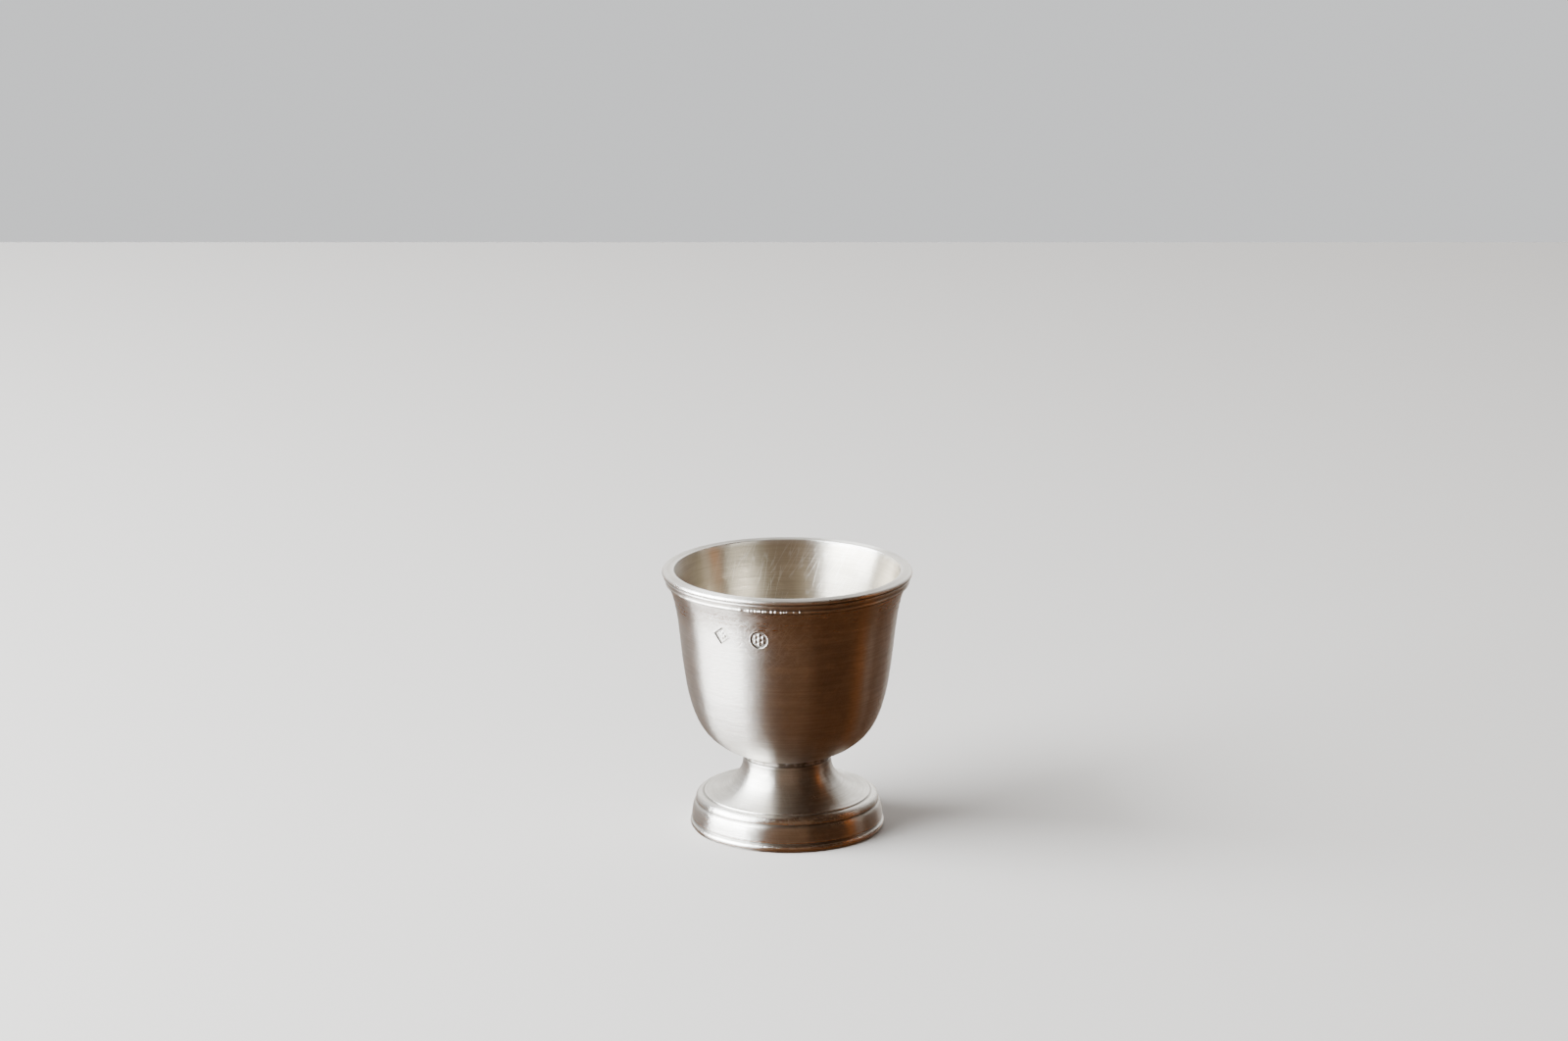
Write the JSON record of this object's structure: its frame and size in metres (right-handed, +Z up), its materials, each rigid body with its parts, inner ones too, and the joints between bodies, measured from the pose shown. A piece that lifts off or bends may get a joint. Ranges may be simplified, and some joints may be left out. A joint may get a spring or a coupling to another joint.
{
  "type": "egg cup",
  "caption": "Small footed egg cup in pewter: flared round bowl with a moulded lip on a hollow trumpet foot with a moulded edge.",
  "frame": {"origin": "centre of the ring that the foot stands on", "axes": "+Z up along the turning axis; the two struck marks are on the -Y side, to the left of the front"},
  "size_m": [0.05, 0.05, 0.0533],
  "materials": {
    "pewter_turned": "turned and brushed satin pewter, fine scratches",
    "pewter_cast": "cast and turned satin pewter",
    "solder": "dull grey soft solder"
  },
  "bodies": {
    "root": {"bowl": "pewter_turned", "foot": "pewter_cast", "solder_seam": "solder"}
  },
  "joints": []
}
